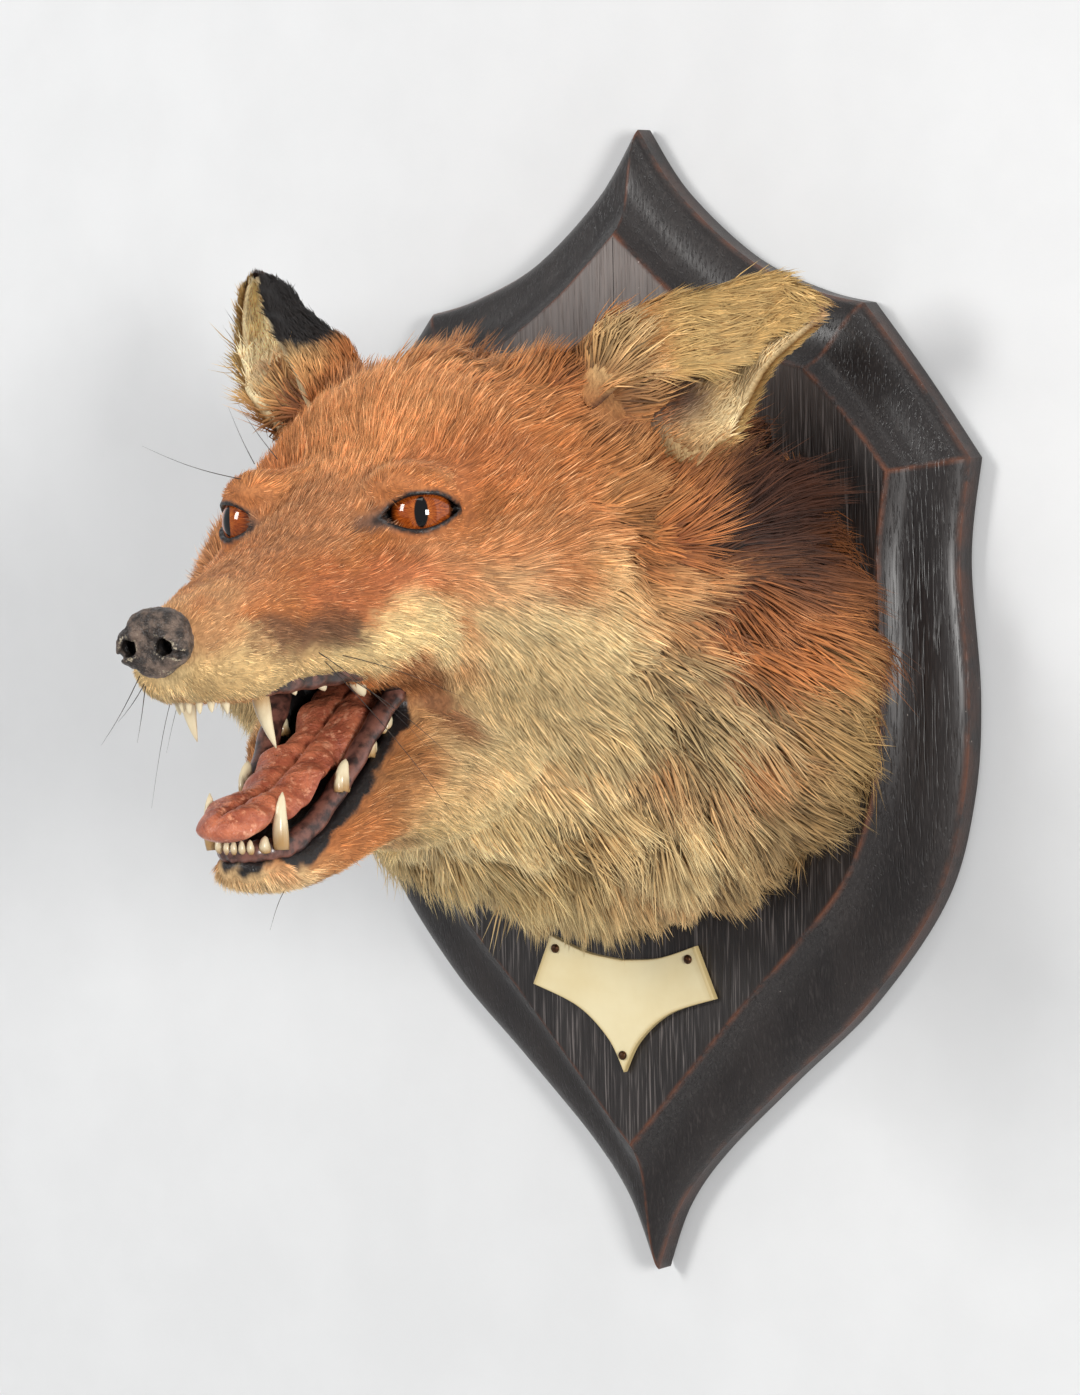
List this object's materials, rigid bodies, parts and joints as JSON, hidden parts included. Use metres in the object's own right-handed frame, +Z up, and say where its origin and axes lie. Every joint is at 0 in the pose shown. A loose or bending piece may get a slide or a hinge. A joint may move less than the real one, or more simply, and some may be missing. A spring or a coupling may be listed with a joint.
{
  "type": "taxidermy fox head on a wall shield",
  "caption": "Mounted red-fox head and neck with an open snarling mouth on a dark moulded wall shield with a small bare name plate.",
  "frame": {"origin": "middle of the shield's flat back face, on the wall", "axes": "+Z up, +X to the right of someone facing the mount, -Y straight out of the wall"},
  "size_m": [0.2048, 0.223, 0.305],
  "materials": {
    "ebonised_oak": "dark ebonised oak, satin wax with worn reddish arrises",
    "ivorine": "bare cream celluloid plate with a low polish",
    "pin_brass": "tarnished round-headed pins",
    "fur_ruff": "long yellow-buff coat over tanned skin",
    "fur_face": "short rust coat with cream cheeks over tanned skin",
    "fur_jaw": "short buff-orange coat over tanned skin",
    "fur_ear": "thin buff and black coat over tanned skin",
    "eye_glass": "amber glass eye with a painted vertical pupil",
    "nose_leather": "dried black nose leather, worn in flecks",
    "tongue_plaster": "painted and varnished modelled tongue",
    "ivory_teeth": "aged ivory teeth in modelled gums"
  },
  "bodies": {
    "root": {"shield_board": "ebonised_oak", "name_plate": "ivorine", "plate_pin_1": "pin_brass", "plate_pin_2": "pin_brass", "plate_pin_3": "pin_brass", "neck": "fur_ruff", "head": "fur_face", "muzzle": "fur_face", "lower_jaw": "fur_jaw", "ear_left": "fur_ear", "ear_right": "fur_ear", "eye_left": "eye_glass", "eye_right": "eye_glass", "nose": "nose_leather", "tongue": "tongue_plaster", "upper_teeth": "ivory_teeth", "lower_teeth": "ivory_teeth"}
  },
  "joints": []
}
